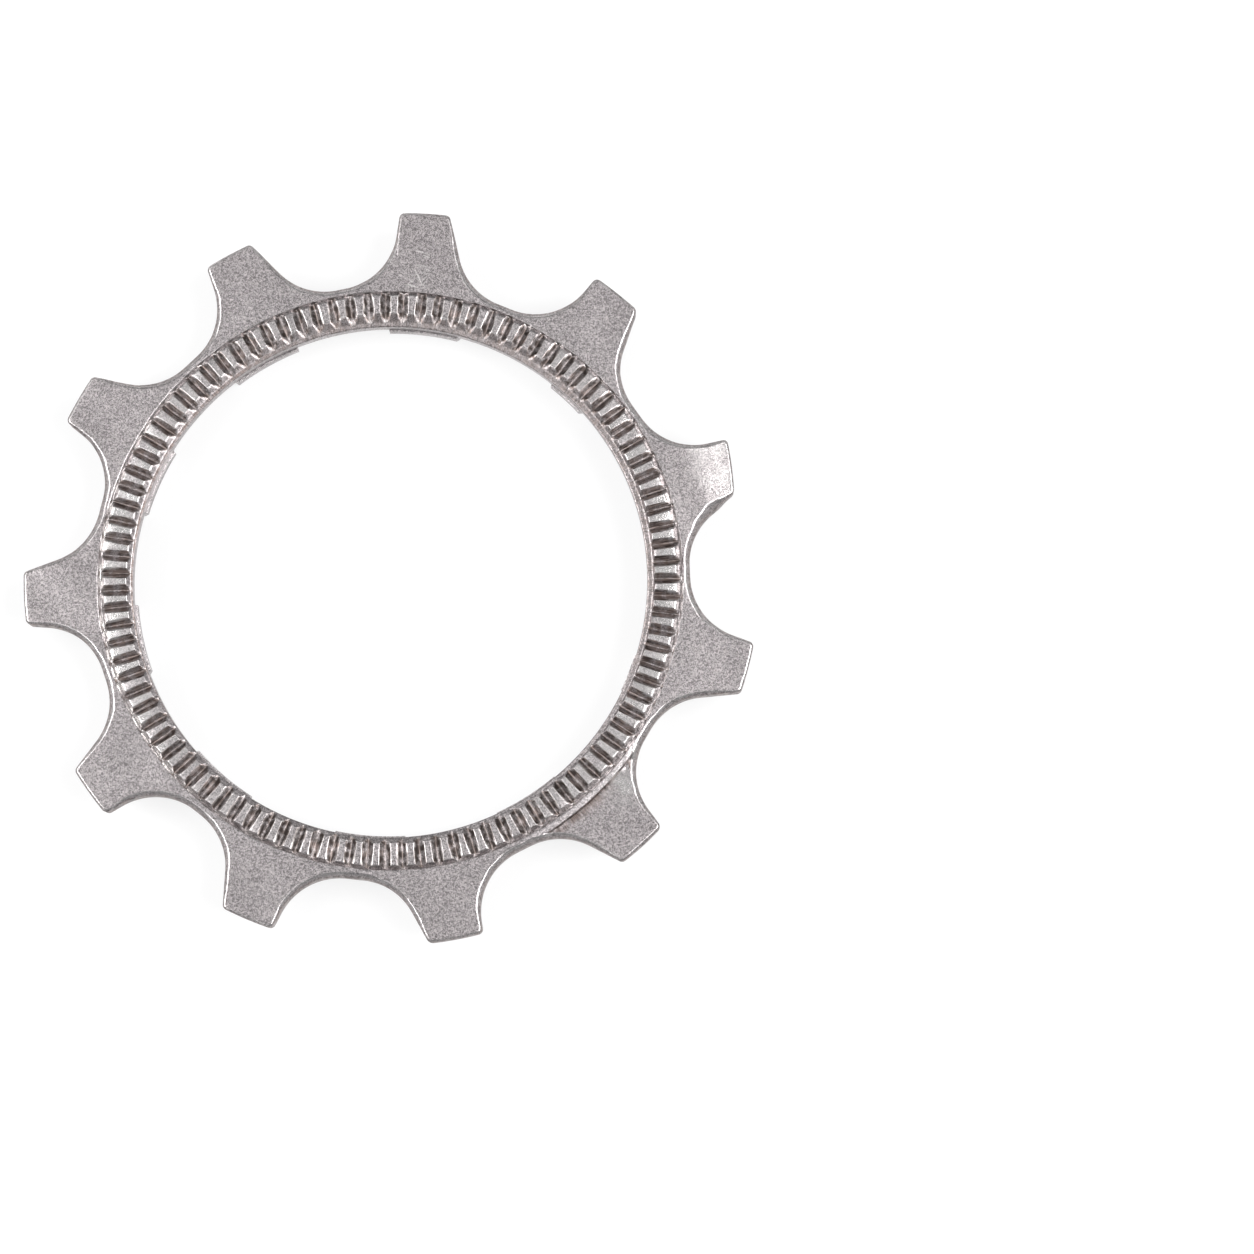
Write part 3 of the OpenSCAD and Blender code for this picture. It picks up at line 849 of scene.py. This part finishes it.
def grime_and_shade_colour(tree, look, place, hollow):
    """Brown dirt and painted shade, lighter and darker in fine streaks, and darker still, as deeper painted
    shade, where the hollow mark passes 1.
    """
    streak = place_group(tree, radial_streaks(), place)["Streak"]
    dark, pale, deep = ([v * tone for v in look.grime_and_shade] for tone in (0.4, 1.7, 0.32))
    return mix_colour(tree, spread(tree, hollow, 0.9, 1.5), mix_colour(tree, streak, dark, pale), deep)


def nick_mask(tree, place):
    """Nicks in three directions, most of them near one place on the top tooth."""
    away = vector_maths(tree, "DISTANCE", place, [v * MM for v in NICKED_PLACE])["Value"]
    near = spread(tree, away, NICKED_NEAR * MM, NICKED_FAR * MM, NICK_MORE, NICK_FEWER)
    limit = maths(tree, "SUBTRACT", NICK_LEVEL, near)
    nicks = fine_nicks()
    masks = [place_group(tree, nicks, place, Turn=turn, Patch=limit)["Mask"] for turn in NICK_TURNS]
    return maths(tree, "MAXIMUM", maths(tree, "MAXIMUM", masks[0], masks[1]), masks[2])


def worn_steel(look):
    """Satin steel: peened grain and clouds on the faces, brown dirt and painted shade deep in the grooves,
    and bright edges, which are painted highlights with some wear. The mesh's marks say how hollow and how
    rubbed each point is, which paint shade with dirt and highlights with wear, and whether it is on a ridge."""
    made = bpy.data.materials.new("worn_steel")
    made.use_nodes = True
    tree = made.node_tree
    tree.nodes.clear()
    place = tree.nodes.new("ShaderNodeTexCoord").outputs["Object"]
    marks = node(tree, "ShaderNodeAttribute", attribute_name="marks")
    hollow, wear_and_highlight, ring = node(tree, "ShaderNodeSeparateColor", Color=marks.outputs["Color"]).outputs
    grain = place_group(tree, peened_grain(), place)

    cloud = maths(tree, "MULTIPLY", grain["Cloud"], 0.75)
    speck = spread(tree, grain["Speck"], 0, 1, 0.48, 1.4)
    speck = maths(tree, "MULTIPLY", speck, spread(tree, ring, 0.6, 1.0, 1.0, 1.04))
    steel = node(tree, "ShaderNodeVectorMath", operation="SCALE", Scale=speck)
    feed(tree, steel.inputs[0], mix_colour(tree, cloud, look.light, look.dull))

    # Painted shade and brown dirt: where the hollow mark is high, the dark colour is mixed in, in patches
    dark_patches = spread(tree, noise(tree, place, 2600.0, 3.0), 0.36, 0.6, 0.5, 1.0)
    shade_and_dirt_mix = maths(tree, "MULTIPLY", spread(tree, hollow, 0.1, 0.9), dark_patches)
    colour = mix_colour(tree, shade_and_dirt_mix, steel.outputs[0], grime_and_shade_colour(tree, look, place, hollow))
    # Painted highlight with some wear: where the rubbed mark is high, patches of the bright colour are mixed
    # in, and the surface is made smoother
    polished = spread(tree, noise(tree, place, 900.0, 3.0), 0.35, 0.6, 0.2, 1.0)
    edge = maths(tree, "MULTIPLY", wear_and_highlight, polished)
    colour = mix_colour(tree, maths(tree, "MULTIPLY", edge, 0.8), colour, look.bright)
    undarkened = maths(tree, "SUBTRACT", 1.0, shade_and_dirt_mix)
    nicked = maths(tree, "MULTIPLY", nick_mask(tree, place), undarkened)
    colour = mix_colour(tree, maths(tree, "MULTIPLY", nicked, NICK_MIX), colour, look.bright)

    rough = spread(tree, grain["Cloud"], 0, 1, look.roughness - 0.01, look.roughness + 0.03)
    rough = maths(tree, "MULTIPLY_ADD", shade_and_dirt_mix, 0.16, rough)
    rough = maths(tree, "MULTIPLY_ADD", edge, -0.12, rough, clamp=True)
    bump = node(tree, "ShaderNodeBump", Strength=0.5, Distance=0.00002, Height=grain["Height"])
    shader = node(tree, "ShaderNodeBsdfPrincipled", Metallic=1.0, Base_Color=colour, Roughness=rough)
    feed(tree, shader.inputs["Normal"], bump.outputs[0])
    node(tree, "ShaderNodeOutputMaterial", Surface=shader.outputs[0])
    return made


def pale_floor(look):
    """Even pale floor. Rays from the camera and from gloss see it nearly white, and it still takes the cog's
    shadow."""
    made = bpy.data.materials.new("pale_floor")
    made.use_nodes = True
    tree = made.node_tree
    tree.nodes.clear()
    path = tree.nodes.new("ShaderNodeLightPath").outputs
    mirrored = maths(tree, "MAXIMUM", path["Is Glossy Ray"], path["Is Transmission Ray"])
    seen = maths(tree, "MAXIMUM", path["Is Camera Ray"], mirrored)
    paint = node(tree, "ShaderNodeBsdfPrincipled", Roughness=0.9, Base_Color=(*look.floor, 1))
    glow = node(tree, "ShaderNodeEmission", Color=(1, 1, 1, 1), Strength=1.0)
    mixed = tree.nodes.new("ShaderNodeMixShader")
    mix = (maths(tree, "MULTIPLY", seen, 0.8), paint.outputs[0], glow.outputs[0])
    for socket, value in zip(mixed.inputs, mix):
        feed(tree, socket, value)
    node(tree, "ShaderNodeOutputMaterial", Surface=mixed.outputs[0])
    return made


# Operators


class COG_OT_surface(bpy.types.Operator):
    """Builds the cog's worn surface in place of its solid"""

    bl_idname = "cog.surface"
    bl_label = "Worn cog"

    def execute(self, context):
        points, faces, marks = cog_surface(context.scene.cog_sizes)
        mesh = bpy.data.meshes.new("worn_cog")
        mesh.from_pydata((points * MM).tolist(), [], faces)
        mesh.validate()
        colours = np.c_[marks, np.ones(len(marks))].astype(np.float32)
        mesh.attributes.new("marks", "FLOAT_COLOR", "POINT").data.foreach_set("color", colours.ravel())
        mesh.shade_smooth()
        mesh.set_sharp_from_angle(angle=math.radians(55))
        piece = bpy.data.objects.new("worn_cog", mesh)
        context.scene.collection.objects.link(piece)
        mesh.materials.append(worn_steel(context.scene.cog_steel))
        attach(piece, "root")
        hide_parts("cog")
        return {"FINISHED"}


# Camera fitted to the photo's outline: its place and aim in millimetres, its roll, and its lens
CAMERA_PLACE, CAMERA_AIM = (16.276, -30.794, 241.159), (14.726, -3.062, 3.7)
CAMERA_ROLL, CAMERA_LENS = math.radians(-0.332), 110.744
# What the lamps aim at, how much stronger the right one is than the left, and half the floor's side in metres
LAMP_AIM, RIGHT_GAIN, FLOOR_HALF = (0, 0, 3), 1.2, 1.5


def area_lamp(name, place, size, power_w):
    """A square softbox at place, turned to the cog. Lengths are in millimetres."""
    lamp = bpy.data.lights.new(name, "AREA")
    lamp.shape, lamp.size, lamp.energy = "SQUARE", size * MM, power_w
    made = bpy.data.objects.new(name, lamp)
    made.location = Vector(place) * MM
    made.rotation_euler = (Vector(LAMP_AIM) - Vector(place)).to_track_quat("-Z", "Y").to_euler()
    bpy.context.scene.collection.objects.link(made)


def photo_camera(scene):
    """The photo's camera: it looks along the line from its place to its aim, with the photo's up as its own,
    turned by the roll."""
    camera = bpy.data.cameras.new("camera")
    camera.lens, camera.sensor_width = CAMERA_LENS, 36
    camera.clip_start, camera.clip_end = 0.01, 10
    ahead = (Vector(CAMERA_AIM) - Vector(CAMERA_PLACE)).normalized()
    right = ahead.cross(Vector((0, 1, 0))).normalized()
    up = right.cross(ahead)
    c, w = math.cos(CAMERA_ROLL), math.sin(CAMERA_ROLL)
    turn = Matrix((right * c + up * w, up * c - right * w, -ahead)).transposed().to_4x4()
    made = bpy.data.objects.new("camera", camera)
    made.matrix_world = Matrix.Translation(Vector(CAMERA_PLACE) * MM) @ turn
    scene.collection.objects.link(made)
    scene.camera = made


class COG_OT_stage(bpy.types.Operator):
    """Adds the pale floor, the lamps, the even sky and the camera"""

    bl_idname = "cog.stage"
    bl_label = "Studio"

    def execute(self, context):
        scene, look = context.scene, context.scene.cog_studio
        mesh = bpy.data.meshes.new("floor")
        corners = [(x * FLOOR_HALF, y * FLOOR_HALF, 0) for x, y in ((-1, -1), (1, -1), (1, 1), (-1, 1))]
        mesh.from_pydata(corners, [], [(0, 1, 2, 3)])
        mesh.materials.append(pale_floor(look))
        floor = bpy.data.objects.new("floor", mesh)
        scene.collection.objects.link(floor)

        area_lamp("left_softbox", (-355, 0, 360), 330, look.side_power)
        area_lamp("right_softbox", (330, -20, 385), 330, look.side_power * RIGHT_GAIN)
        area_lamp("back_softbox", (0, 250, 570), 400, look.back_power)

        world = bpy.data.worlds.new("even_sky")
        world.use_nodes = True
        sky = world.node_tree.nodes["Background"]
        sky.inputs[0].default_value = (0.97, 0.98, 1, 1)
        sky.inputs[1].default_value = look.sky
        scene.world = world
        scene.view_settings.view_transform = "Standard"
        photo_camera(scene)
        return {"FINISHED"}


class COG_PT_panel(bpy.types.Panel):
    """Lists the cog's sizes and the steps that build it"""

    bl_label = "Cassette cog"
    bl_idname = "COG_PT_panel"
    bl_space_type = "VIEW_3D"
    bl_region_type = "UI"
    bl_category = "Cog"

    def draw(self, context):
        steps = (("cog_sizes", "cog.surface"), ("cog_steel", None), ("cog_studio", "cog.stage"))
        for group_name, operator in steps:
            box = self.layout.box()
            values = getattr(context.scene, group_name)
            for key in values.__annotations__:
                box.prop(values, key)
            if operator:
                box.operator(operator)


CLASSES = (CogSizes, SteelLook, StudioLook, COG_OT_surface, COG_OT_stage, COG_PT_panel)


def register():
    for c in CLASSES:
        bpy.utils.register_class(c)
    bpy.types.Scene.cog_sizes = PointerProperty(type=CogSizes)
    bpy.types.Scene.cog_steel = PointerProperty(type=SteelLook)
    bpy.types.Scene.cog_studio = PointerProperty(type=StudioLook)


def unregister():
    for key in ("cog_sizes", "cog_steel", "cog_studio"):
        delattr(bpy.types.Scene, key)
    for c in reversed(CLASSES):
        bpy.utils.unregister_class(c)


def main():
    register()
    bpy.ops.cog.surface()
    bpy.ops.cog.stage()


if __name__ == "__main__":
    main()
